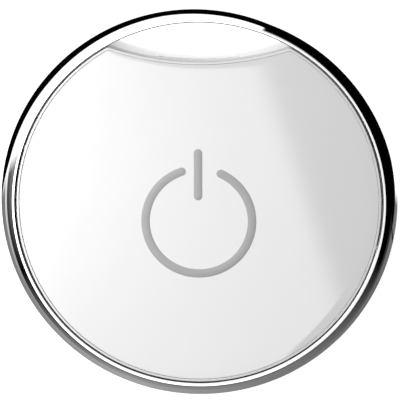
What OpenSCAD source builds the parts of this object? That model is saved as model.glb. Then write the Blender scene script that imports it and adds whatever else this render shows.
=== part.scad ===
// Round tracker tag: a white face plate that is one large button, a polished metal ring
// around it, and a key loop left open between the ring and the body's hollowed top edge.
// It lies flat with +Z out of the face, +Y towards the key loop, and z = 0 under the foot.

/* [Ring] */
// Outer diameter of the metal ring, which is the size of the tag
ring_d = 42; // [42:0.1:43]
// Width of the ring's section, from its inner wall to its outer edge
ring_w = 1.56; // [1.55:0.01:1.58]
// Radius that rounds the ring's upper outer edge
ring_edge_r = 1.1; // [0.5:0.05:1.15]
// How far the ring's outer wall draws in between its shoulder and the foot
ring_taper = 1.2; // [0:0.05:1.2]
// Height of the upright stretch of wall under the rounded edge
ring_wall_h = 0.3; // [0.1:0.05:1]

/* [Body] */
// Height of the whole tag, from the foot to the top of the ring
tag_h = 7.35; // [7.35:0.05:7.6]
// Distance from the middle of the tag to the hollow edge beside the key loop
loop_edge_y = 15.18; // [15.1:0.01:15.2]
// Radius of that hollow edge
loop_r = 30.6; // [30:0.1:32]
// Thickness of the rear housing's floor
floor_t = 0.9; // [0.8:0.05:0.95]
// Thickness of the rear housing's wall
wall_t = 1.15; // [1.1:0.05:1.2]
// Height at which the front frame meets the rear housing
split_z = 5.5; // [5.45:0.05:5.5]

/* [Front] */
// Width of the thin rim that shows round the face plate
rim_w = 0.22; // [0.2:0.01:0.25]
// Gap between the rim and the face plate
plate_gap = 0.05; // [0.04:0.01:0.08]
// Thickness of the face plate
plate_t = 0.75; // [0.7:0.01:0.75]
// How far the face plate presses in
press_travel = 0.3; // [0.2:0.05:0.3]

/* [Power mark] */
// Radius of the middle of the broken circle
mark_r = 5.64; // [5:0.02:6]
// Width of the mark's strokes
mark_w = 0.9; // [0.6:0.05:1.1]
// Where the middle of the broken circle lies
mark_y = -1.88; // [-2.5:0.02:-1.5]
// Thickness of the mark's film, which stands on the face plate
mark_t = 0.05; // [0.03:0.01:0.06]

/* [Cell] */
// Diameter of the coin cell
cell_d = 20; // [19.9:0.05:20]
// Height of the coin cell
cell_h = 3.2; // [3.1:0.05:3.2]

/* [Hidden] */

$fn = 96;
eps = 0.1;             // how far a cutting shape runs past the face that it cuts
fit = 0.05;            // clearance of a sliding fit

// Ring and body outline
ring_r = ring_d / 2;
ring_in = ring_r - ring_w;
ring_z0 = 0.3;
ring_z1 = tag_h - 0.05;
ring_gap = 0.14;
body_r = ring_in - ring_gap;
band_z1 = 4.8;
loop_cy = loop_edge_y + loop_r;
foot_inset = 0.5;

// Face plate
plate_in = rim_w + plate_gap;
plate_z1 = tag_h - mark_t;
plate_z0 = plate_z1 - plate_t;
plate_edge = 0.15;

// Front frame, whose ledge lies under the face plate with the travel between them
seam = 0.02;
frame_z0 = split_z + seam;
rim_z = ring_z1 - 0.12;
travel_spare = 0.07;
ledge_in = 2.6;
ledge_t = 0.33;
ledge_z1 = plate_z0 - press_travel - travel_spare;
ledge_z0 = ledge_z1 - ledge_t;
skirt_out = wall_t + 0.06;
skirt_t = 0.6;
skirt_z0 = split_z - 1.1;
nib_w = 0.4;
nib_angles = [-14, 162];

// Gasket and the step that it lies in
step_in = 0.7;
step_h = 0.4;
gasket_gap = 0.03;

// Pry slot
slot_l = 8.6;
slot_h = 0.6;
slot_depth = 0.6;

// Hooks that hold the face plate, and the pads that lift it
hook_angles = [35, 145, 215, 325];
hook_w = 2.4;
hook_t = 0.6;
hook_gap = 0.1;
hook_h = 0.35;
hook_reach = 0.45;
pad_r = 0.6;
pad_inset = 1.4;
pad_angles = [10, 170, 235, 305];

// Power mark
mark_x = -0.08;
mark_start = 65.7;
mark_end = 108.8;
bar_y0 = 0.83;
bar_y1 = 5.44;

// Circuit board and what holds it
board_z0 = 1.9;
board_t = 0.8;
board_z1 = board_z0 + board_t;
board_in = 1.4;
post_r = 1.3;
screw_at = [[-13.2, -5.5], [13.2, -5.5]];
post_at = [[-13, 7.5], [13, 7.5], [0, -16]];
screw_r = 0.5;
screw_head_r = 1;
screw_head_h = 0.45;
screw_z0 = 1.1;
screw_slot_w = 0.3;
screw_slot_l = 1.3 * screw_head_r;

// Coin cell, can side up
cell_y = 2.4;
cell_r = cell_d / 2;
cell_z0 = board_z1 + 0.3;
cell_z1 = cell_z0 + cell_h;
can_t = 0.25;
can_lift = 0.1;
cap_r = cell_r - 1.42;
cap_t = 0.25;
cap_flange = 0.8;
gasket_t = 0.33;
cradle_gap = 0.25;
cradle_t = 0.75;
cradle_h = 1.5;
cradle_cuts = [38, 142, 228, 270];
cradle_cut_w = 4.2;
pad_l = 11;
pad_w = 3;
pad_t = 0.15;
pad_disc_r = 2.4;
contact_t = 0.2;
contact_w = 3.2;
contact_angle = 228;
contact_h = 2.2;
contact_foot = 1.3;

// Sounder on the floor
piezo_r = 7.5;
piezo_ceramic_r = 5.5;
adhesive_t = 0.1;
adhesive_w = 1;
piezo_t = 0.2;
ceramic_t = 0.15;
pin_r = 0.4;
ceramic_pin_x = -3;
brass_pin_x = -6.6;

// Switch under the face plate
switch_y = -12.5;
switch_w = 4.4;
switch_base_h = 1.2;
switch_cover_t = 0.15;
switch_well_r = 1.6;
switch_floor_t = 0.3;
dome_h = 0.45;
dome_t = 0.1;
dome_top_r = 0.6;
stem_r = 0.9;
stem_z1 = board_z1 + 2;
stem_flange_r = 1.25;
stem_flange_h = 0.12;
stem_gap = 0.02;
boss_r = 1.5;

// Small parts on the board: [x, y, turn]
chip_at = [-6.6, -11.9, 0];
chip_w = 5;
chip_h = 0.85;
crystal_at = [-11.4, -9.4, 40];
crystal_size = [2, 1.6, 0.3];
crystal_lid = [1.8, 1.4, 0.5];
inductor_at = [-4.2, -15.5, 15];
inductor_size = [2, 1.6, 0.9];
antenna_turn = -50;
antenna_r = 15.9;
antenna_size = [1.6, 5.4, 1.2];
capacitor_size = [1.6, 0.8, 0.7];
resistor_size = [1.6, 0.8, 0.45];
capacitor_at = [[-10.4, -12.2, 40], [-2.9, -10.2, 90], [-8.2, -15.3, 28], [5.2, -10.6, 90]];
resistor_at = [[3.8, -15.4, -10], [5.6, -14.9, -15], [7.2, -10, 40]];

// The body's outline seen from the front, drawn in by inset all round
module outline(inset) {
    difference() {
        circle(r = body_r - inset, $fn = 180);
        translate([0, loop_cy])
            circle(r = loop_r + inset, $fn = 240);
    }
}

// A plate of that outline between two heights
module slab(inset, z0, z1) {
    translate([0, 0, z0])
        linear_extrude(z1 - z0)
            outline(inset);
}

// A wall that follows that outline between two insets and two heights
module rim(outer, inner, z0, z1) {
    translate([0, 0, z0])
        linear_extrude(z1 - z0)
            difference() {
                outline(outer);
                outline(inner);
            }
}

module disc(r, z0, z1) {
    translate([0, 0, z0])
        cylinder(r = r, h = z1 - z0);
}

module pipe(r_in, r_out, z0, z1) {
    difference() {
        disc(r_out, z0, z1);
        disc(r_in, z0 - eps, z1 + eps);
    }
}

// A block centred on x and y, standing on z0
module block(size, z0) {
    translate([-size[0] / 2, -size[1] / 2, z0])
        cube(size);
}

module placed(at) {
    translate([at[0], at[1], 0])
        rotate([0, 0, at[2]])
            children();
}

// The ring's section: a rounded upper edge over a wall that draws in towards the foot
module ring_section() {
    edge_x = ring_r - ring_edge_r;
    edge_z = ring_z1 - ring_edge_r;
    polygon([
        [ring_in, ring_z0],
        [ring_r - ring_taper, ring_z0],
        [ring_r, edge_z - ring_wall_h],
        [ring_r, edge_z],
        [edge_x, edge_z],
        [edge_x, ring_z1],
        [ring_in, ring_z1]
    ]);
    intersection() {
        translate([edge_x, edge_z])
            circle(r = ring_edge_r, $fn = 64);
        translate([edge_x, edge_z])
            square(2 * ring_edge_r);
    }
}

// The broken circle and the upright bar of a generic power mark
module mark_shape() {
    gap_r = 2 * mark_r;
    translate([0, mark_y]) {
        difference() {
            circle(r = mark_r + mark_w / 2);
            circle(r = mark_r - mark_w / 2);
            polygon([
                [0, 0],
                [gap_r * cos(mark_start), gap_r * sin(mark_start)],
                [gap_r * cos(mark_end), gap_r * sin(mark_end)]
            ]);
        }
        for (a = [mark_start, mark_end])
            translate([mark_r * cos(a), mark_r * sin(a)])
                circle(r = mark_w / 2, $fn = 48);
    }
    translate([mark_x - mark_w / 2, bar_y0])
        square([mark_w, bar_y1 - bar_y0]);
    for (y = [bar_y0, bar_y1])
        translate([mark_x, y])
            circle(r = mark_w / 2, $fn = 48);
}

// The raised band on the housing's wall that the ring is pressed over
module press_band() {
    difference() {
        pipe(body_r - wall_t / 2, ring_in, ring_z0, band_z1);
        translate([0, loop_cy, 0])
            disc(loop_r, 0, split_z);
    }
}

module rear_housing() {
    color("white")
        difference() {
            union() {
                slab(foot_inset, 0, floor_t);
                slab(0, ring_z0, floor_t);
                rim(0, wall_t, floor_t, split_z);
                press_band();
                for (p = concat(screw_at, post_at))
                    translate(p)
                        disc(post_r, floor_t, board_z0);
            }
            rim(step_in, wall_t + eps, split_z - step_h, split_z + eps);
            for (p = screw_at)
                translate(p)
                    disc(screw_r, screw_z0, board_z0 + eps);
            translate([-slot_l / 2, loop_edge_y - slot_depth, split_z - slot_h])
                cube([slot_l, 2 * slot_depth, 2 * slot_h]);
        }
}

module bezel_ring() {
    color("silver")
        rotate_extrude($fn = 240)
            ring_section();
}

module piezo_adhesive() {
    color("gainsboro")
        pipe(piezo_r - adhesive_w, piezo_r, floor_t, floor_t + adhesive_t);
}

module piezo_plate() {
    color("goldenrod")
        disc(piezo_r, floor_t + adhesive_t, floor_t + adhesive_t + piezo_t);
}

module piezo_ceramic() {
    z0 = floor_t + adhesive_t + piezo_t;
    color("lightgray")
        disc(piezo_ceramic_r, z0, z0 + ceramic_t);
}

// One pin presses on the ceramic and the other on the brass beside it
module piezo_pins() {
    z0 = floor_t + adhesive_t + piezo_t;
    color("gold") {
        translate([ceramic_pin_x, 0, 0])
            disc(pin_r, z0 + ceramic_t, board_z0);
        translate([brass_pin_x, 0, 0])
            disc(pin_r, z0, board_z0);
    }
}

module circuit_board() {
    color("darkgreen")
        difference() {
            slab(board_in, board_z0, board_z1);
            for (p = screw_at)
                translate(p)
                    disc(screw_r + fit, board_z0 - eps, board_z1 + eps);
        }
}

module board_screws() {
    color("silver")
        for (p = screw_at)
            translate(p)
                difference() {
                    union() {
                        disc(screw_r, screw_z0, board_z1 + eps);
                        disc(screw_head_r, board_z1, board_z1 + screw_head_h);
                    }
                    for (turn = [0, 90])
                        rotate([0, 0, turn])
                            block([screw_slot_l, screw_slot_w, 1], board_z1 + screw_head_h - screw_slot_w);
                }
}

// A low fence that holds the cell, with gaps for the side contact and a fingernail
module cell_cradle() {
    color("dimgray")
        translate([0, cell_y, 0])
            difference() {
                pipe(cell_r + cradle_gap, cell_r + cradle_gap + cradle_t, board_z1, board_z1 + cradle_h);
                for (a = cradle_cuts)
                    rotate([0, 0, a])
                        translate([cell_r, -cradle_cut_w / 2, board_z1 - eps])
                            cube([2 * cradle_t + cradle_gap, cradle_cut_w, cradle_h + 2 * eps]);
            }
}

module negative_contact() {
    color("gold")
        translate([0, cell_y, 0]) {
            block([pad_l, pad_w, pad_t], board_z1);
            disc(pad_disc_r, board_z1, cell_z0);
        }
}

// A leaf that stands on the board and presses on the side of the can
module positive_contact() {
    color("gold")
        translate([0, cell_y, 0])
            intersection() {
                union() {
                    pipe(cell_r, cell_r + contact_t, board_z1, board_z1 + contact_h);
                    pipe(cell_r, cell_r + contact_foot, board_z1, board_z1 + contact_t);
                }
                rotate([0, 0, contact_angle])
                    translate([0, -contact_w / 2, 0])
                        cube([2 * cell_r, contact_w, tag_h]);
            }
}

module coin_cell_can() {
    color("lightsteelblue")
        translate([0, cell_y, 0])
            difference() {
                disc(cell_r, cell_z0 + can_lift, cell_z1);
                disc(cell_r - can_t, cell_z0 + can_lift + can_t, cell_z1 - can_t);
                disc(cap_r + gasket_t, cell_z0, cell_z0 + can_lift + 2 * can_t);
            }
}

module coin_cell_cap() {
    z1 = cell_z0 + cap_t + cap_flange;
    color("silver")
        translate([0, cell_y, 0])
            difference() {
                union() {
                    disc(cap_r, cell_z0, z1);
                    disc(cap_r + gasket_t / 2, z1 - cap_t, z1);
                }
                disc(cap_r - cap_t, cell_z0 + cap_t, z1 + eps);
            }
}

module coin_cell_gasket() {
    z0 = cell_z0 + can_lift;
    color("black")
        translate([0, cell_y, 0])
            pipe(cap_r, cap_r + gasket_t, z0, cell_z0 + cap_flange);
}

// The pellets inside the cell, which are most of its weight
module coin_cell_core() {
    color("darkslategray")
        translate([0, cell_y, 0])
            disc(cap_r - cap_t, cell_z0 + cap_t, cell_z1 - can_t);
}

module radio_chip() {
    color("black")
        placed(chip_at)
            block([chip_w, chip_w, chip_h], board_z1);
}

module crystal() {
    color("silver")
        placed(crystal_at) {
            block(crystal_size, board_z1);
            block(crystal_lid, board_z1);
        }
}

module chip_antenna() {
    color("ivory")
        rotate([0, 0, antenna_turn])
            translate([antenna_r, 0, 0])
                block(antenna_size, board_z1);
}

module board_inductor() {
    color("dimgray")
        placed(inductor_at)
            block(inductor_size, board_z1);
}

module board_capacitors() {
    color("tan")
        for (at = capacitor_at)
            placed(at)
                block(capacitor_size, board_z1);
}

module board_resistors() {
    color("black")
        for (at = resistor_at)
            placed(at)
                block(resistor_size, board_z1);
}

module switch_base() {
    color("black")
        translate([0, switch_y, 0])
            difference() {
                block([switch_w, switch_w, switch_base_h], board_z1);
                disc(switch_well_r, board_z1 + switch_floor_t, board_z1 + switch_base_h + eps);
            }
}

module switch_cover() {
    z0 = board_z1 + switch_base_h;
    color("silver")
        translate([0, switch_y, 0])
            difference() {
                block([switch_w, switch_w, switch_cover_t], z0);
                disc(stem_r + fit, z0 - eps, z0 + switch_cover_t + eps);
            }
}

// A snap disc, drawn as a shallow cone that stands on its rim
module switch_dome() {
    z0 = board_z1 + switch_floor_t;
    color("silver")
        translate([0, switch_y, z0])
            difference() {
                cylinder(r1 = switch_well_r - fit, r2 = dome_top_r, h = dome_h);
                translate([0, 0, -dome_t])
                    cylinder(r1 = switch_well_r - fit, r2 = dome_top_r, h = dome_h);
            }
}

module switch_plunger() {
    flange_z = board_z1 + switch_floor_t + dome_h + stem_gap;
    color("ivory")
        translate([0, switch_y, 0]) {
            disc(stem_flange_r, flange_z, flange_z + stem_flange_h);
            disc(stem_r, flange_z, stem_z1);
        }
}

module front_frame() {
    color("whitesmoke")
        difference() {
            union() {
                rim(0, rim_w, frame_z0, rim_z);
                rim(0, skirt_out + skirt_t, frame_z0, ledge_z1);
                rim(0, ledge_in, ledge_z0, ledge_z1);
                rim(skirt_out, skirt_out + skirt_t, skirt_z0, ledge_z1);
            }
            for (a = nib_angles)
                rotate([0, 0, a])
                    translate([body_r - rim_w / 2, -nib_w / 2, ledge_z1])
                        cube([rim_w, nib_w, rim_z]);
        }
}

module frame_gasket() {
    color("dimgray")
        rim(step_in + gasket_gap, wall_t - gasket_gap, split_z - step_h + gasket_gap, frame_z0);
}

module return_pads() {
    color("lightgray")
        for (a = pad_angles)
            rotate([0, 0, a])
                translate([body_r - pad_inset, 0, 0])
                    disc(pad_r, ledge_z1, plate_z0);
}

// Hooks under the plate catch below the frame's ledge, and a boss reaches down to the switch
module face_plate() {
    hook_r = body_r - ledge_in - hook_gap;
    hook_z1 = ledge_z0 - fit;
    color("white") {
        slab(plate_in, plate_z0, plate_z1 - plate_edge);
        slab(plate_in + plate_edge, plate_z0, plate_z1);
        translate([0, switch_y, 0])
            disc(boss_r, stem_z1 + stem_gap, plate_z0 + eps);
        for (a = hook_angles)
            rotate([0, 0, a]) {
                translate([hook_r - hook_t, -hook_w / 2, hook_z1 - hook_h])
                    cube([hook_t, hook_w, plate_z0 - hook_z1 + hook_h + eps]);
                translate([hook_r - eps, -hook_w / 2, hook_z1 - hook_h])
                    cube([hook_reach + eps, hook_w, hook_h]);
            }
    }
}

module power_mark() {
    color("darkgray")
        translate([0, 0, plate_z1])
            linear_extrude(mark_t)
                mark_shape();
}

rear_housing();
bezel_ring();
piezo_adhesive();
piezo_plate();
piezo_ceramic();
piezo_pins();
circuit_board();
board_screws();
cell_cradle();
negative_contact();
positive_contact();
coin_cell_can();
coin_cell_cap();
coin_cell_gasket();
coin_cell_core();
radio_chip();
crystal();
chip_antenna();
board_inductor();
board_capacitors();
board_resistors();
switch_base();
switch_cover();
switch_dome();
switch_plunger();
front_frame();
frame_gasket();
return_pads();
face_plate();
power_mark();
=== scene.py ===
"""A round tracker tag, seen from almost straight above, on a pale floor.

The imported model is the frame. The shells that show are rebuilt here with rounded edges, and the parts
inside keep their CAD shapes and get materials. All lengths are in metres.
"""

import math

import bmesh
import bpy
from mathutils import Matrix, Vector


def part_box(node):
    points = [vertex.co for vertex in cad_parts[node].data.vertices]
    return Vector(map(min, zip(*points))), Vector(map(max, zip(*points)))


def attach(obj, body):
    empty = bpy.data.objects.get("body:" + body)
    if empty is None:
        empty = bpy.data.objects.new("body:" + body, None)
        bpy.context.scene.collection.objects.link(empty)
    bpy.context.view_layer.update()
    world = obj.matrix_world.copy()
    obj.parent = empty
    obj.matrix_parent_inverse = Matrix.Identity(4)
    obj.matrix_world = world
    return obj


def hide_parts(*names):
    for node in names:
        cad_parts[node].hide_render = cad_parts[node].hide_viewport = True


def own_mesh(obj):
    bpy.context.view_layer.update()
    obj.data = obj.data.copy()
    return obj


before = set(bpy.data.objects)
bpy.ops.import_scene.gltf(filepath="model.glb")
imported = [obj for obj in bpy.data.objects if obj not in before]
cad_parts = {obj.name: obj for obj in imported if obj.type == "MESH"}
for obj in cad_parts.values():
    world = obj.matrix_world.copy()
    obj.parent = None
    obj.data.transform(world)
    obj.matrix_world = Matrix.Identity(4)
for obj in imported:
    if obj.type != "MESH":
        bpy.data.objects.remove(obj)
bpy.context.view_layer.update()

MM = 0.001

# Sizes that the frame gives
RING_LO, RING_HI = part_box("bezel_ring")
HOUSING_LO, HOUSING_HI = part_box("rear_housing")
FRAME_LO, FRAME_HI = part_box("front_frame")
PLATE_LO, PLATE_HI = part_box("face_plate")
MARK_LO, MARK_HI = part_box("power_mark")
RING_R = RING_HI.x
RING_IN = HOUSING_HI.x                  # the housing's press band touches the ring's inner wall
BODY_R = FRAME_HI.x
PLATE_INSET = BODY_R - PLATE_HI.x

# The hollow edge beside the key loop is an arc through these frame points
LOOP_R = 30.6 * MM
LOOP_EDGE_Y = 15.18 * MM
LOOP_CY = LOOP_EDGE_Y + LOOP_R

# The face plate is a very shallow dome
DOME_R = 1.0
PLATE_TOP = PLATE_HI.z - 0.01 * MM

SEGMENTS = 256
# Below this height the ring's lower wall is satin, and its darker grey there is painted shade.
SATIN_AND_SHADE_TOP = RING_HI.z - 2.25 * MM       # where the ring's polish ends


# ---------------------------------------------------------------- mesh helpers


def finish_mesh(bm, name, angle=35):
    """A new object from the mesh, smooth except across edges sharper than the angle."""
    bmesh.ops.recalc_face_normals(bm, faces=bm.faces)
    mesh = bpy.data.meshes.new(name)
    for face in bm.faces:
        face.smooth = True
    for edge in bm.edges:
        if len(edge.link_faces) == 2 and edge.calc_face_angle() > math.radians(angle):
            edge.smooth = False
    bm.to_mesh(mesh)
    bm.free()
    obj = bpy.data.objects.new(name, mesh)
    bpy.context.scene.collection.objects.link(obj)
    return obj


def bridge(bm, rows, close_rows=False):
    """Quads between rows of vertices; each row is a closed loop."""
    pairs = list(zip(rows, rows[1:]))
    if close_rows:
        pairs.append((rows[-1], rows[0]))
    for low, high in pairs:
        count = len(low)
        for i in range(count):
            j = (i + 1) % count
            bm.faces.new((low[i], low[j], high[j], high[i]))


def arc(centre, radius, start, end, count):
    """Points of an arc in the section plane, from one angle in degrees to the other."""
    points = []
    for i in range(count + 1):
        a = math.radians(start + (end - start) * i / count)
        points.append((centre[0] + radius * math.cos(a), centre[1] + radius * math.sin(a)))
    return points


def lathe(bm, section, centre=(0, 0), segments=SEGMENTS, closed=True):
    """Turns a section of (radius, z) points about a vertical axis. An open section that starts or
    ends at radius 0 is closed there by a fan."""
    rows = []
    for r, z in section:
        if r < 1e-9:
            rows.append([bm.verts.new((centre[0], centre[1], z))])
            continue
        row = []
        for i in range(segments):
            a = 2 * math.pi * i / segments
            row.append(bm.verts.new((centre[0] + r * math.cos(a), centre[1] + r * math.sin(a), z)))
        rows.append(row)
    pairs = list(zip(rows, rows[1:]))
    if closed:
        pairs.append((rows[-1], rows[0]))
    for low, high in pairs:
        for i in range(segments):
            j = (i + 1) % segments
            if len(low) == 1 and len(high) == 1:
                break
            if len(low) == 1:
                bm.faces.new((low[0], high[j], high[i]))
            elif len(high) == 1:
                bm.faces.new((low[i], low[j], high[0]))
            else:
                bm.faces.new((low[i], low[j], high[j], high[i]))


def add_block(bm, size, place, bevel):
    """A box with bevelled edges, placed by a matrix."""
    made = bmesh.ops.create_cube(bm, size=1)
    verts = made["verts"]
    bmesh.ops.scale(bm, vec=size, verts=verts)
    edges = list({e for v in verts for e in v.link_edges})
    out = bmesh.ops.bevel(bm, geom=edges, offset=bevel, segments=3, profile=0.5, affect="EDGES")
    moved = {v for f in out["faces"] for v in f.verts}
    moved |= {v for v in verts if v.is_valid}
    bmesh.ops.transform(bm, matrix=place, verts=list(moved))


# ---------------------------------------------------------------- the body's outline

SLOT_HALF = 4.3 * MM
SLOT_EDGE = 0.02 * MM


def even(start, end, count):
    """count values from start towards end, without end itself."""
    return [start + (end - start) * i / count for i in range(count)]


def outline(inset, corner, dent=0.0):
    """The body's outline drawn in by inset, with rounded tips, counter-clockwise from the left tip.
    dent pushes the pry slot's stretch of the hollow edge in. The count of points never changes."""
    big = BODY_R - inset
    hollow = LOOP_R + inset
    a, b = big - corner, hollow + corner
    fy = (a * a - b * b + LOOP_CY * LOOP_CY) / (2 * LOOP_CY)
    fx = math.sqrt(a * a - fy * fy)                   # the right tip's fillet is centred on (fx, fy)
    start = math.atan2(fy, fx)                        # where the round side meets that fillet
    end = math.atan2(LOOP_CY - fy, -fx)               # where the hollow edge meets it
    reach = hollow * math.sin(math.atan2(fx, LOOP_CY - fy))
    points = []
    for angle in even(math.pi - start, 2 * math.pi + start, 220):
        points.append((big * math.cos(angle), big * math.sin(angle)))
    for angle in even(start, end, 10):
        points.append((fx + corner * math.cos(angle), fy + corner * math.sin(angle)))
    outside, inside = SLOT_HALF + SLOT_EDGE, SLOT_HALF - SLOT_EDGE
    half = even(reach, outside, 10) + [outside] + even(inside, 0.0, 12)
    for x in half + [0.0] + [-x for x in reversed(half[1:])]:
        y = LOOP_CY - math.sqrt(hollow * hollow - x * x)
        points.append((x, y - (dent if abs(x) < SLOT_HALF else 0.0)))
    for angle in even(math.pi - end, math.pi - start, 10):
        points.append((-fx + corner * math.cos(angle), fy + corner * math.sin(angle)))
    return points


def row_at(bm, inset, z, corner, dent=0.0):
    return [bm.verts.new((x, y, z)) for x, y in outline(inset, corner, dent)]


def shell(bm, section):
    """A closed wall that follows the outline. section holds (inset, z, corner, dent) rows."""
    rows = [row_at(bm, *step) for step in section]
    bridge(bm, rows, close_rows=True)


def cap(bm, row, height, centre=(0.0, -0.001), rings=18):
    """Fills a row of vertices with rings that shrink to a centre; height gives z at (x, y)."""
    edge = [v.co.copy() for v in row]
    rows = [row]
    for k in range(1, rings):
        s = 1 - k / rings
        inner = []
        for p in edge:
            x = centre[0] + (p.x - centre[0]) * s
            y = centre[1] + (p.y - centre[1]) * s
            inner.append(bm.verts.new((x, y, height(x, y))))
        rows.append(inner)
    bridge(bm, rows)
    middle = bm.verts.new((centre[0], centre[1], height(*centre)))
    last = rows[-1]
    for i in range(len(last)):
        bm.faces.new((last[i], last[(i + 1) % len(last)], middle))


def dome(x, y):
    return PLATE_TOP - (x * x + y * y) / (2 * DOME_R)


# ---------------------------------------------------------------- materials


class Shader:
    """Short calls that add nodes to a node tree."""

    def __init__(self, tree):
        self.tree = tree

    def node(self, kind, **settings):
        made = self.tree.nodes.new(kind)
        for key, value in settings.items():
            setattr(made, key, value)
        return made

    def feed(self, socket, value):
        if isinstance(value, bpy.types.NodeSocket):
            self.tree.links.new(value, socket)
        else:
            socket.default_value = value

    def math(self, operation, a, b=0.0, c=0.0):
        made = self.node("ShaderNodeMath", operation=operation)
        for socket, value in zip(made.inputs, (a, b, c)):
            self.feed(socket, value)
        return made.outputs[0]

    def step(self, value, low, high, start=0.0, end=1.0):
        """Goes smoothly from start to end while the value goes from low to high."""
        made = self.node("ShaderNodeMapRange", interpolation_type="SMOOTHSTEP")
        for name, given in (("Value", value), ("From Min", low), ("From Max", high),
                            ("To Min", start), ("To Max", end)):
            self.feed(made.inputs[name], given)
        return made.outputs[0]

    def blend(self, share, a, b):
        """a where share is 0 and b where it is 1."""
        return self.math("ADD", self.math("MULTIPLY", a, self.math("SUBTRACT", 1.0, share)),
                         self.math("MULTIPLY", b, share))

    def noise(self, scale, detail=3.0, rough=0.5, stretch=(1, 1, 1)):
        coords = self.node("ShaderNodeTexCoord").outputs["Object"]
        mapping = self.node("ShaderNodeMapping")
        self.feed(mapping.inputs["Vector"], coords)
        mapping.inputs["Scale"].default_value = stretch
        made = self.node("ShaderNodeTexNoise")
        self.feed(made.inputs["Vector"], mapping.outputs[0])
        self.feed(made.inputs["Scale"], scale)
        self.feed(made.inputs["Detail"], detail)
        self.feed(made.inputs["Roughness"], rough)
        return made.outputs["Fac"]

    def colours(self, share, a, b):
        made = self.node("ShaderNodeMix", data_type="RGBA")
        self.feed(made.inputs[0], share)
        self.feed(made.inputs[6], (*a, 1))
        self.feed(made.inputs[7], (*b, 1))
        return made.outputs[2]


def surface(name, light, dark, rough, patch=800, grain=6000, bump=0.02, depth=0.02, stretch=(1, 1, 1),
            **constants):
    """A material with two close colours in soft patches, and roughness and bump from a finer grain.
    rough is (low, high), patch and grain are per metre, depth is in millimetres."""
    material = bpy.data.materials.new(name)
    material.use_nodes = True
    s = Shader(material.node_tree)
    bsdf = material.node_tree.nodes["Principled BSDF"]
    patches = s.noise(patch, 4.0, 0.6, stretch)
    fine = s.noise(grain, 3.0, 0.55, stretch)
    s.feed(bsdf.inputs["Base Color"], s.colours(s.step(patches, 0.3, 0.7), light, dark))
    s.feed(bsdf.inputs["Roughness"], s.step(fine, 0.25, 0.75, *rough))
    made = s.node("ShaderNodeBump")
    made.inputs["Strength"].default_value = bump
    made.inputs["Distance"].default_value = depth * MM
    s.feed(made.inputs["Height"], fine)
    s.feed(bsdf.inputs["Normal"], made.outputs[0])
    for key, value in constants.items():
        bsdf.inputs[key.replace("_", " ")].default_value = value
    return material


def grey(value):
    return (value, value, value)


def board_material():
    """Green solder mask over copper tracks, which show as a lighter green brick pattern."""
    material = surface("board_green", (0.012, 0.115, 0.045), (0.008, 0.085, 0.034), (0.18, 0.3),
                       patch=300, grain=9000, Coat_Weight=0.4, Coat_Roughness=0.1)
    s = Shader(material.node_tree)
    bsdf = material.node_tree.nodes["Principled BSDF"]
    coords = s.node("ShaderNodeTexCoord").outputs["Object"]
    brick = s.node("ShaderNodeTexBrick")
    s.feed(brick.inputs["Vector"], coords)
    brick.inputs["Scale"].default_value = 420
    brick.inputs["Mortar Size"].default_value = 0.045
    brick.inputs["Mortar Smooth"].default_value = 0.2
    track = s.colours(brick.outputs["Fac"], (0.012, 0.115, 0.045), (0.03, 0.2, 0.08))
    s.feed(bsdf.inputs["Base Color"], track)
    return material


def ring_material():
    """Polished metal whose drawn-in lower wall has a satin finish, and a darker grey there that is painted shade."""
    material = surface("ring_polished", grey(0.93), grey(0.91), (0.03, 0.06), patch=250, grain=7000,
                       bump=0.006, depth=0.004, Metallic=1.0)
    s = Shader(material.node_tree)
    bsdf = material.node_tree.nodes["Principled BSDF"]
    split = s.node("ShaderNodeSeparateXYZ")
    s.feed(split.inputs[0], s.node("ShaderNodeTexCoord").outputs["Object"])
    share = s.step(split.outputs["Z"], SATIN_AND_SHADE_TOP - 0.2 * MM, SATIN_AND_SHADE_TOP)
    polish = bsdf.inputs["Roughness"].links[0].from_socket
    s.feed(bsdf.inputs["Roughness"], s.blend(share, 0.3, polish))
    shade = bsdf.inputs["Base Color"].links[0].from_socket
    # Painted shade: grey 0.6 darkens the lower wall towards the bottom.
    lower_wall_shade = s.node("ShaderNodeMix", data_type="RGBA")
    s.feed(lower_wall_shade.inputs[0], share)
    s.feed(lower_wall_shade.inputs[6], (*grey(0.6), 1))
    s.feed(lower_wall_shade.inputs[7], shade)
    s.feed(bsdf.inputs["Base Color"], lower_wall_shade.outputs[2])
    return material


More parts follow.
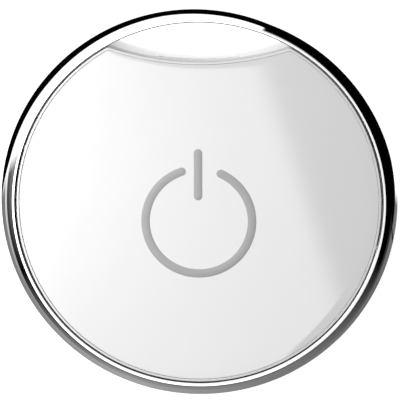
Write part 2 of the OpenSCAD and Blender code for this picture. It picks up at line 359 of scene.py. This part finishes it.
def make_materials():
    gilt = dict(patch=500, grain=20000, bump=0.05, Metallic=1.0)
    return {
        "plate": surface("plate_gloss", grey(0.58), grey(0.57), (0.02, 0.04), patch=120, grain=9000,
                         bump=0.002, depth=0.002, Coat_Weight=0.15, Coat_Roughness=0.02, IOR=1.75),
        "mark": surface("mark_satin", grey(0.345), grey(0.335), (0.42, 0.5), patch=900, grain=16000, bump=0.03),
        "ring": ring_material(),
        "rim": surface("frame_gloss", grey(0.61), grey(0.6), (0.16, 0.24), patch=300, grain=12000, bump=0.02),
        "housing": surface("housing_grained", grey(0.95), grey(0.935), (0.16, 0.24), patch=400, grain=9000,
                           bump=0.06),
        "gilt": surface("gilt_contact", (0.83, 0.6, 0.26), (0.74, 0.5, 0.2), (0.16, 0.3), **gilt),
        "brass": surface("piezo_brass", (0.72, 0.5, 0.2), (0.6, 0.4, 0.15), (0.3, 0.45), **gilt),
        "silvered": surface("piezo_ceramic", grey(0.66), (0.58, 0.57, 0.55), (0.4, 0.55), grain=15000, bump=0.1),
        "adhesive": surface("adhesive", (0.8, 0.76, 0.66), (0.74, 0.69, 0.58), (0.4, 0.6), grain=5000, bump=0.2),
        "board": board_material(),
        "steel": surface("bright_steel", grey(0.62), grey(0.55), (0.18, 0.34), grain=12000, bump=0.05,
                         Metallic=1.0),
        "cell": surface("cell_steel", grey(0.68), grey(0.62), (0.2, 0.36), patch=300, grain=2600, bump=0.06,
                        stretch=(1, 12, 1), Metallic=1.0),
        "cradle": surface("cradle_plastic", grey(0.035), grey(0.028), (0.4, 0.55), grain=9000, bump=0.12),
        "seal": surface("cell_seal", grey(0.02), grey(0.015), (0.5, 0.6), grain=9000, bump=0.1),
        "core": surface("cell_core", grey(0.08), grey(0.04), (0.7, 0.9), grain=9000, bump=0.3),
        "chip": surface("chip_moulding", grey(0.018), grey(0.013), (0.4, 0.6), grain=20000, bump=0.15),
        "antenna": surface("antenna_ceramic", (0.66, 0.72, 0.66), (0.6, 0.66, 0.6), (0.3, 0.4), grain=15000),
        "ferrite": surface("inductor_ferrite", grey(0.07), grey(0.05), (0.5, 0.7), grain=15000, bump=0.2),
        "capacitor": surface("capacitor_ceramic", (0.36, 0.23, 0.12), (0.3, 0.19, 0.1), (0.3, 0.45), grain=20000),
        "plunger": surface("plunger_plastic", (0.7, 0.66, 0.55), (0.66, 0.62, 0.5), (0.35, 0.45), grain=12000),
        "gasket": surface("gasket_rubber", grey(0.09), grey(0.07), (0.6, 0.75), grain=9000, bump=0.15),
        "pad": surface("pad_rubber", grey(0.6), grey(0.54), (0.45, 0.6), grain=9000, bump=0.1),
    }


# ---------------------------------------------------------------- pieces

LIP_W = 0.34 * MM
LIP_TILT = 24                       # how steeply the round outer band starts, in degrees
EDGE = 0.06 * MM


def make_ring(material):
    """A flat lip, a crease, and a band that rolls over to the upright outer wall."""
    lip = RING_IN + LIP_W
    roll = (RING_R - lip) / (1 - math.sin(math.radians(LIP_TILT)))
    drop = roll * math.cos(math.radians(LIP_TILT))
    shoulder, foot, taper, base = 0.3 * MM, RING_LO.z, 1.2 * MM, 0.15 * MM
    brow_w, brow_h, nose = 0.11 * MM, 0.05 * MM, 0.02 * MM
    section = [(RING_IN, RING_HI.z - brow_h - nose), (RING_IN + nose, RING_HI.z - brow_h)]
    section.append((RING_IN + nose + brow_w, RING_HI.z))
    section += [(lip - 0.02 * MM, RING_HI.z), (lip, RING_HI.z - 0.005 * MM)]
    section += arc((RING_R - roll, RING_HI.z - drop), roll, 90 - LIP_TILT, 0, 40)
    section += [(RING_R, RING_HI.z - drop - shoulder / 2), (RING_R - 0.02 * MM, RING_HI.z - drop - shoulder)]
    section += [(RING_R - taper + 0.02 * MM, foot + base), (RING_R - taper - base / 2, foot)]
    section += arc((RING_IN + EDGE, RING_LO.z + EDGE), EDGE, 270, 180, 4)
    bm = bmesh.new()
    lathe(bm, section, segments=384)
    obj = finish_mesh(bm, "polished_ring", angle=15)
    obj.data.materials.append(material)
    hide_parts("bezel_ring")
    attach(obj, "base")
    return obj


def hook(bm, angle):
    """One hook under the plate, a post with a barb that catches below the frame's ledge."""
    top = PLATE_HI.z - 0.72 * MM
    post_r, post_t, width, height, barb = 16.3 * MM, 0.6 * MM, 2.4 * MM, 1.1 * MM, 0.35 * MM
    turn = Matrix.Rotation(math.radians(angle), 4, "Z")
    post = turn @ Matrix.Translation((post_r, 0, top - height / 2 + 0.05 * MM))
    add_block(bm, (post_t, width, height), post, 0.05 * MM)
    toe = turn @ Matrix.Translation((post_r + 0.4 * MM, 0, top - height + barb / 2 + 0.05 * MM))
    add_block(bm, (0.8 * MM, width, barb), toe, 0.05 * MM)


def make_plate(material):
    """The domed plate with a rounded edge, its hooks and the boss over the switch."""
    fillet = 0.04 * MM
    corner = 0.55 * MM
    under = PLATE_HI.z - 0.75 * MM
    bm = bmesh.new()
    rows = [row_at(bm, PLATE_INSET + fillet / 2, under, corner)]
    rows.append(row_at(bm, PLATE_INSET, under + fillet / 2, corner))
    steps = 6
    for i in range(steps + 1):
        a = math.pi / 2 * i / steps
        inset = PLATE_INSET + fillet * (1 - math.cos(a))
        row = row_at(bm, inset, 0.0, corner)
        for v in row:
            v.co.z = dome(v.co.x, v.co.y) - fillet * (1 - math.sin(a))
        rows.append(row)
    bridge(bm, rows)
    cap(bm, rows[-1], dome)
    cap(bm, rows[0], lambda x, y: under, rings=4)
    boss_r, boss_y = 1.5 * MM, -12.5 * MM
    section = [(0, PLATE_LO.z)] + arc((boss_r - EDGE, PLATE_LO.z + EDGE), EDGE, -90, 0, 4)
    section += [(boss_r, under + 0.1 * MM), (0, under + 0.1 * MM)]
    lathe(bm, section, centre=(0, boss_y), segments=48, closed=False)
    for angle in (35, 145, 215, 325):
        hook(bm, angle)
    obj = finish_mesh(bm, "face_plate_shell", angle=40)
    obj.data.materials.append(material)
    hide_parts("face_plate")
    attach(obj, "button")
    return obj


def stroke(bm, path, width, height):
    """A flat film along a path, with round ends, that lies on the dome."""
    half, count = width / 2, len(path)
    left, right = [], []
    for i, p in enumerate(path):
        ahead = path[min(i + 1, count - 1)]
        behind = path[max(i - 1, 0)]
        along = (Vector(ahead) - Vector(behind)).normalized()
        side = Vector((-along.y, along.x))
        left.append(Vector(p) + side * half)
        right.append(Vector(p) - side * half)
    ends = 16
    start_turn = Vector(path[1]) - Vector(path[0])
    end_turn = Vector(path[-1]) - Vector(path[-2])

    def round_end(point, away):
        base = math.atan2(away.y, away.x) - math.pi / 2
        return [Vector(point) + half * Vector((math.cos(base + math.pi * k / ends), math.sin(base + math.pi * k / ends)))
                for k in range(1, ends)]

    loop = right + round_end(path[-1], end_turn) + left[::-1] + round_end(path[0], -start_turn)

    def ring_of(shrink, lift):
        row = []
        for k, p in enumerate(loop):
            before, after = loop[k - 1], loop[(k + 1) % len(loop)]
            along = (after - before).normalized()
            q = p + Vector((-along.y, along.x)) * shrink
            row.append(bm.verts.new((q.x, q.y, dome(q.x, q.y) + lift)))
        return row

    foot = ring_of(0.0, -0.004 * MM)
    side = ring_of(0.0, height * 0.6)
    top = ring_of(0.01 * MM, height)
    bridge(bm, [foot, side, top])
    steps = len(path)
    tops_right, tops_left = top[:steps], top[steps + ends - 1:2 * steps + ends - 1][::-1]
    for i in range(steps - 1):
        bm.faces.new((tops_right[i], tops_right[i + 1], tops_left[i + 1], tops_left[i]))
    far = top[steps - 1:steps + ends]
    bm.faces.new(far)
    near = top[2 * steps + ends - 2:] + [top[0]]
    bm.faces.new(near)


def make_mark(material):
    """A generic power mark: a broken circle and an upright bar."""
    width = 0.9 * MM
    radius = (MARK_HI.x - MARK_LO.x - width) / 2
    middle = MARK_LO.y + width / 2 + radius
    start, end = 65.7, 108.8 - 360
    circle = []
    for i in range(121):
        a = math.radians(start + (end - start) * i / 120)
        circle.append((radius * math.cos(a), middle + radius * math.sin(a)))
    bar_x = -0.08 * MM
    bar_top, bar_foot = MARK_HI.y - width / 2, 0.83 * MM
    bar = [(bar_x, bar_foot + (bar_top - bar_foot) * i / 12) for i in range(13)]
    film = 0.012 * MM
    bm = bmesh.new()
    stroke(bm, circle, width, film)
    stroke(bm, bar, width, film)
    obj = finish_mesh(bm, "power_mark_film", angle=50)
    obj.data.materials.append(material)
    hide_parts("power_mark")
    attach(obj, "button")
    return obj


CORNER = 0.55 * MM
INNER_CORNER = 0.3 * MM


def make_frame(material):
    """The lid's frame: a thin rim, a flange, a ledge under the plate and a skirt inside the wall."""
    e = 0.05 * MM
    z0, rim_z = 5.52 * MM, FRAME_HI.z
    ledge_0, ledge_1 = 5.85 * MM, 6.18 * MM
    rim_w, ledge = 0.245 * MM, 2.6 * MM
    out, skirt = 1.21 * MM, 1.81 * MM
    low = FRAME_LO.z
    c, k = CORNER, INNER_CORNER
    section = [
        (e, z0, c), (0, z0, c), (0, rim_z - e, c), (e * 0.3, rim_z - e * 0.3, c), (e, rim_z, c),
        (rim_w - e / 2, rim_z, c), (rim_w, rim_z - e / 2, c), (rim_w, ledge_1 + e, c), (rim_w + e, ledge_1, c),
        (ledge - e, ledge_1, k), (ledge, ledge_1 - e, k), (ledge, ledge_0 + e, k), (ledge - e, ledge_0, k),
        (skirt + e, ledge_0, k), (skirt, ledge_0 - e, k), (skirt, low + 2 * e, k), (skirt - 2 * e, low, k),
        (out + 2 * e, low, k), (out, low + 2 * e, k), (out, z0, k),
    ]
    bm = bmesh.new()
    shell(bm, section)
    for angle in (-14, 162):
        turn = Matrix.Rotation(math.radians(angle), 4, "Z")
        place = turn @ Matrix.Translation((BODY_R - 0.02 * MM, 0, rim_z - 0.5 * MM))
        add_block(bm, (0.2 * MM, 0.42 * MM, 0.9 * MM), place, 0.03 * MM)
    obj = finish_mesh(bm, "lid_frame", angle=35)
    obj.data.materials.append(material)
    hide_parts("front_frame")
    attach(obj, "lid")
    return obj


def make_housing(material):
    """The rear tray: foot, floor and wall in one closed shell, posts, and the band that holds the ring."""
    e = 0.08 * MM
    top, floor = HOUSING_HI.z, 0.9 * MM
    foot, side = 0.5 * MM, 0.3 * MM
    step, wall = 0.7 * MM, 1.15 * MM
    step_z = top - 0.4 * MM
    dent, slot_z = 0.6 * MM, top - 0.6 * MM
    c, k = CORNER, INNER_CORNER
    section = [
        (foot + e, 0, c), (foot + 0.3 * e, 0.3 * e, c), (foot, e, c), (foot, side, c), (0.25 * MM, side, c),
        (0, side + 0.25 * MM, c), (0, slot_z, c), (0, slot_z, c, dent), (0, top, c, dent), (step, top, k),
        (step, step_z, k), (wall, step_z, k), (wall, floor + 0.3 * MM, k), (wall + 0.09 * MM, floor + 0.09 * MM, k),
        (wall + 0.3 * MM, floor, k),
    ]
    bm = bmesh.new()
    rows = [row_at(bm, *row) for row in section]
    bridge(bm, rows)
    cap(bm, rows[0], lambda x, y: 0.0, rings=6)
    cap(bm, rows[-1], lambda x, y: floor, rings=6)
    post_r, hole_r, post_top = 1.3 * MM, 0.5 * MM, 1.9 * MM
    for x, y, bored in ((-13.2, -5.5, True), (13.2, -5.5, True), (-13, 7.5, False), (13, 7.5, False), (0, -16, False)):
        section = arc((post_r + 0.2 * MM, floor + 0.2 * MM), 0.2 * MM, 270, 180, 4)
        section += arc((post_r - 0.06 * MM, post_top - 0.06 * MM), 0.06 * MM, 0, 90, 4)
        section += [(hole_r, post_top), (hole_r, floor)] if bored else [(0, post_top)]
        section[0] = (post_r + 0.2 * MM, floor)
        if not bored:
            section.append((0, floor))
        lathe(bm, section, centre=(x * MM, y * MM), segments=48, closed=True)
    obj = finish_mesh(bm, "rear_tray", angle=35)
    obj.data.materials.append(material)
    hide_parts("rear_housing")
    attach(obj, "base")

    bm = bmesh.new()
    band_r, low, high = RING_IN - 0.004 * MM, 0.62 * MM, 4.8 * MM
    tip = math.atan2(16.85, 9.6)
    rows = []
    arc_steps = 220
    section = [(BODY_R - 0.3 * MM, low), (band_r - e, low), (band_r, low + e), (band_r, high - e),
               (band_r - e, high), (BODY_R - 0.3 * MM, high)]
    for i in range(arc_steps + 1):
        angle = math.pi - tip + (math.pi + 2 * tip) * i / arc_steps
        rows.append([bm.verts.new((r * math.cos(angle), r * math.sin(angle), z)) for r, z in section])
    bridge(bm, rows)
    bm.faces.new(rows[0])
    bm.faces.new(rows[-1][::-1])
    band = finish_mesh(bm, "rear_tray_band", angle=35)
    band.data.materials.append(material)
    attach(band, "base")
    return obj


def make_cell(material):
    """The cell's can: a turned cup with a rounded shoulder and a faint stamped ring on its top."""
    lo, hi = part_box("coin_cell_can")
    r, middle = (hi.x - lo.x) / 2, ((lo.x + hi.x) / 2, (lo.y + hi.y) / 2)
    shoulder = 0.35 * MM
    mouth, wall = 8.93 * MM, 0.25 * MM
    section = [(mouth, lo.z + wall), (mouth, lo.z)]
    section += arc((r - 0.2 * MM, lo.z + 0.2 * MM), 0.2 * MM, -90, 0, 5)
    section += arc((r - shoulder, hi.z - shoulder), shoulder, 0, 90, 10)
    section += [(8.6 * MM, hi.z), (8.5 * MM, hi.z - 0.03 * MM), (8.2 * MM, hi.z - 0.03 * MM), (8.1 * MM, hi.z)]
    section += [(4.0 * MM, hi.z), (0, hi.z)]
    bm = bmesh.new()
    lathe(bm, section, centre=middle, segments=192, closed=False)
    obj = finish_mesh(bm, "cell_can", angle=30)
    obj.data.materials.append(material)
    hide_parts("coin_cell_can")
    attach(obj, "base")
    return obj


def make_pads(material):
    """The rubber pads that lift the plate, built in their resting shape; the real pads flatten as it is pressed."""
    lo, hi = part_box("return_pads")
    r, edge, reach = 0.6 * MM, 0.08 * MM, BODY_R - 1.4 * MM
    low, high = lo.z + 0.002 * MM, hi.z - 0.005 * MM
    section = [(0, low)] + arc((r - edge, low + edge), edge, -90, 0, 4)
    section += arc((r - edge, high - edge), edge, 0, 90, 4) + [(0, high)]
    bm = bmesh.new()
    for degrees in (10, 170, 235, 305):
        a = math.radians(degrees)
        lathe(bm, section, centre=(reach * math.cos(a), reach * math.sin(a)), segments=40, closed=False)
    obj = finish_mesh(bm, "lift_pads", angle=35)
    obj.data.materials.append(material)
    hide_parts("return_pads")
    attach(obj, "lid")
    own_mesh(obj)


def make_snap_dome(material):
    """The switch's snap disc, a thin shallow dome built in its resting shape; the real disc flattens under the
    plunger.
    """
    lo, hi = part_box("switch_dome")
    r, middle = (hi.x - lo.x) / 2, ((lo.x + hi.x) / 2, (lo.y + hi.y) / 2)
    rise, thick = hi.z - lo.z, 0.08 * MM
    outer = [(r * math.cos(t), lo.z + rise * math.sin(t)) for t in (math.radians(9 * i) for i in range(11))]
    inner = [(max(x - thick, 0), max(z - thick, lo.z)) for x, z in outer]
    inner[-1] = (0, inner[-1][1])
    outer[-1] = (0, hi.z)
    bm = bmesh.new()
    lathe(bm, outer + inner[::-1], centre=middle, segments=64, closed=True)
    obj = finish_mesh(bm, "snap_dome", angle=40)
    obj.data.materials.append(material)
    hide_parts("switch_dome")
    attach(obj, "base")
    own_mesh(obj)


CAD_MATERIALS = {
    "piezo_adhesive": "adhesive", "piezo_plate": "brass", "piezo_ceramic": "silvered", "piezo_pins": "gilt",
    "circuit_board": "board", "board_screws": "steel", "cell_cradle": "cradle", "negative_contact": "gilt",
    "positive_contact": "gilt", "coin_cell_cap": "cell", "coin_cell_gasket": "seal", "coin_cell_core": "core",
    "radio_chip": "chip", "crystal": "steel", "chip_antenna": "antenna", "board_inductor": "ferrite",
    "board_capacitors": "capacitor", "board_resistors": "chip", "switch_base": "chip",
    "switch_cover": "steel", "switch_plunger": "plunger", "frame_gasket": "gasket",
}


def dress_cad_nodes(materials):
    for name, key in CAD_MATERIALS.items():
        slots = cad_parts[name].data.materials
        if not slots:
            slots.append(None)
        for i in range(len(slots)):
            slots[i] = materials[key]


# ---------------------------------------------------------------- stage

WHITE = 1.25
HIGH_SKY, SOFTBOX = 1.0, 3.1

# Cards stand round the tag: white ones behind it, and in front a grey one that fades to black at
# both sides. Each row is a direction in degrees, then how bright the middle sky, the low sky, the
# far floor and the near floor are there
# The floor columns are also what the floor shows to glossy rays, as a painted reflection.
CARDS = [
    (6, WHITE, WHITE, WHITE, WHITE),
    (177, WHITE, WHITE, WHITE, WHITE),
    (183, 0.2, 0.1, 0.9, 0.2),
    (212, 0.0, 0.0, 0.3, 0.25),
    (250, 0.15, 0.3, 0.4, 0.4),
    (290, 0.15, 0.2, 0.2, 0.2),
    (330, 0.0, 0.0, 0.05, 0.15),
    (356, 0.0, 0.0, 0.0, 0.2),
]
# A black strip hangs in front of them: direction, then its top and its foot as elevations
STRIP = [
    (0, 90, -35), (10, 90, -40), (30, 90, -25), (55, 90, -10), (66.5, 90, -5), (67, 30, -5),
    (105, 10, -30), (150, 5, -60), (175, -10, -80), (187, -90, -90), (345, -90, -90), (347, 90, -20),
]


def round_steps(s, turn, rows):
    """Up to three values that change evenly with the direction; rows hold (degrees, values)."""
    made = s.node("ShaderNodeValToRGB")
    elements = made.color_ramp.elements
    elements.remove(elements[-1])
    if rows[0][0]:
        rows = [(0, *rows[0][1:])] + rows
    for i, (degrees, *values) in enumerate(rows + [(360, *rows[0][1:])]):
        stop = elements.new(degrees / 360) if i else elements[0]
        stop.position = degrees / 360
        stop.color = (*(list(values) + [0, 0])[:3], 1)
    s.feed(made.inputs["Fac"], turn)
    split = s.node("ShaderNodeSeparateColor")
    s.feed(split.inputs[0], made.outputs["Color"])
    return split.outputs[0], split.outputs[1], split.outputs[2]


def studio_value(s, x, y, elevation):
    """The luminance of the cards in one direction."""
    turn = s.math("DIVIDE", s.math("ARCTAN2", y, x), 2 * math.pi)
    turn = s.math("FRACT", s.math("ADD", turn, 1.0))
    shares = [(row[0], *[v / WHITE for v in row[1:]]) for row in CARDS]
    middle, low, far = round_steps(s, turn, [row[:4] for row in shares])
    near = round_steps(s, turn, [(row[0], row[4]) for row in shares])[0]
    strip = [(row[0], *[(v + 90) / 180 for v in row[1:]]) for row in STRIP]
    top, foot = round_steps(s, turn, strip)[:2]

    def above(degrees, soft):
        return s.step(elevation, math.radians(degrees - soft), math.radians(degrees + soft))

    def clear_of(limit, start, end):
        limit = s.math("MULTIPLY", s.math("SUBTRACT", limit, 0.5), math.pi)
        gap = s.math("SUBTRACT", elevation, limit)
        return s.step(gap, math.radians(-1), math.radians(1), start, end)

    value = s.blend(above(20, 3), low, middle)
    value = s.blend(above(0, 2), far, value)
    value = s.blend(above(-15, 3), near, value)
    black = s.math("MULTIPLY", clear_of(foot, 0.0, 1.0), clear_of(top, 1.0, 0.0))
    value = s.math("MULTIPLY", value, s.math("SUBTRACT", 1.0, black))
    return s.math("MULTIPLY", value, WHITE)


def level_length(s, x, y):
    return s.math("SQRT", s.math("ADD", s.math("MULTIPLY", x, x), s.math("MULTIPLY", y, y)))


def make_world():
    """A soft studio: bright above, with a softbox whose edge falls across the zenith, and dark cards."""
    world = bpy.data.worlds.new("studio")
    bpy.context.scene.world = world
    world.use_nodes = True
    s = Shader(world.node_tree)
    background = world.node_tree.nodes["Background"]
    split = s.node("ShaderNodeSeparateXYZ")
    s.feed(split.inputs[0], s.node("ShaderNodeTexCoord").outputs["Generated"])
    x, y, z = split.outputs
    height = s.math("ARCSINE", z)

    def rise(degrees, soft=3):
        return s.step(height, math.radians(degrees - soft), math.radians(degrees + soft))

    value = s.blend(rise(50, 6), studio_value(s, x, y, height), HIGH_SKY)
    top = s.math("MAXIMUM", z, 0.05)
    edge = s.math("ADD", s.math("DIVIDE", x, top), s.math("MULTIPLY", s.math("DIVIDE", y, top), 0.31))
    softbox = s.step(edge, -0.061, -0.049, SOFTBOX, HIGH_SKY)
    value = s.blend(rise(66, 4), value, softbox)
    s.feed(background.inputs["Strength"], value)
    background.inputs["Color"].default_value = (1, 1, 1, 1)


def make_floor():
    """A pale floor. To glossy rays it glows with a painted reflection instead: a lit card round the tag with darker
    cards past it. To diffuse rays it glows at a fixed strength, which lights the tag.
    """
    size = 0.6
    bpy.ops.mesh.primitive_plane_add(size=2 * size, location=(0, 0, 0))
    floor = bpy.context.object
    floor.name = "floor"
    material = bpy.data.materials.new("floor_pale")
    material.use_nodes = True
    tree = material.node_tree
    s = Shader(tree)
    tree.nodes.remove(tree.nodes["Principled BSDF"])
    matt = s.node("ShaderNodeBsdfDiffuse")
    matt.inputs["Color"].default_value = (*grey(0.5), 1)
    glow = s.node("ShaderNodeEmission")
    glow.inputs["Strength"].default_value = 0.82
    seen = s.node("ShaderNodeAddShader")
    s.feed(seen.inputs[0], matt.outputs[0])
    s.feed(seen.inputs[1], glow.outputs[0])
    split = s.node("ShaderNodeSeparateXYZ")
    s.feed(split.inputs[0], s.node("ShaderNodeTexCoord").outputs["Object"])
    x, y, z = split.outputs
    # Painted reflection: glossy rays that meet the floor get the cards' brightness in this spot's direction, as seen
    # from the ring's edge.
    run = s.math("SUBTRACT", level_length(s, x, y), 20.6 * MM)
    run = s.math("MAXIMUM", run, 0.5 * MM)
    below = s.math("MULTIPLY", s.math("ARCTANGENT", s.math("DIVIDE", 6.5 * MM, run)), -1.0)
    value = studio_value(s, x, y, below)
    painted_reflection = s.node("ShaderNodeEmission")
    s.feed(painted_reflection.inputs["Strength"], value)
    lit = s.node("ShaderNodeEmission")
    lit.inputs["Strength"].default_value = 2.8
    rays = s.node("ShaderNodeLightPath")
    result = seen.outputs[0]
    for kind, other in (("Is Diffuse Ray", lit), ("Is Glossy Ray", painted_reflection)):
        pick = s.node("ShaderNodeMixShader")
        s.feed(pick.inputs[0], rays.outputs[kind])
        s.feed(pick.inputs[1], result)
        s.feed(pick.inputs[2], other.outputs[0])
        result = pick.outputs[0]
    s.feed(tree.nodes["Material Output"].inputs["Surface"], result)
    floor.data.materials.append(material)


def add_light(name, place, size, power):
    light = bpy.data.lights.new(name, "AREA")
    light.shape = "DISK"
    light.size = size
    light.energy = power
    obj = bpy.data.objects.new(name, light)
    obj.location = place
    obj.rotation_mode = "QUATERNION"
    obj.rotation_quaternion = (Vector((0, 0, 0.007)) - Vector(place)).to_track_quat("-Z", "Y")
    obj.visible_glossy = False
    obj.visible_camera = False
    bpy.context.scene.collection.objects.link(obj)


LENS, SENSOR = 600.0, 36.0
CAMERA_TILT = math.radians(11.5)         # from straight above
CAMERA_SIDE = math.radians(81)           # the side that it leans to, from +X towards +Y
VIEW_WIDTH = 42.28 * MM                  # what the frame takes in at the face
AIM = Vector((0.13 * MM, 0.42 * MM, RING_HI.z))


def make_camera():
    data = bpy.data.cameras.new("camera")
    data.lens, data.sensor_width = LENS, SENSOR
    data.clip_start, data.clip_end = 0.01, 10.0
    camera = bpy.data.objects.new("camera", data)
    bpy.context.scene.collection.objects.link(camera)
    back = Vector((math.sin(CAMERA_TILT) * math.cos(CAMERA_SIDE),
                   math.sin(CAMERA_TILT) * math.sin(CAMERA_SIDE), math.cos(CAMERA_TILT)))
    right = Vector((0, 1, 0)).cross(back).normalized()
    up = back.cross(right)
    camera.location = AIM + back * (VIEW_WIDTH / 2 / (SENSOR / 2 / LENS))
    camera.rotation_mode = "QUATERNION"
    camera.rotation_quaternion = Matrix((right, up, back)).transposed().to_quaternion()
    bpy.context.scene.camera = camera


def main():
    scene = bpy.context.scene
    scene.view_settings.view_transform = "Standard"
    make_camera()
    materials = make_materials()
    make_ring(materials["ring"])
    make_plate(materials["plate"])
    make_mark(materials["mark"])
    make_frame(materials["rim"])
    make_housing(materials["housing"])
    make_cell(materials["cell"])
    make_pads(materials["pad"])
    make_snap_dome(materials["steel"])
    dress_cad_nodes(materials)
    make_world()
    make_floor()
    add_light("key", (-0.055, 0.012, 0.032), 0.02, 0.027)
    add_light("back", (0.0, 0.09, 0.16), 0.06, 0.037)


main()
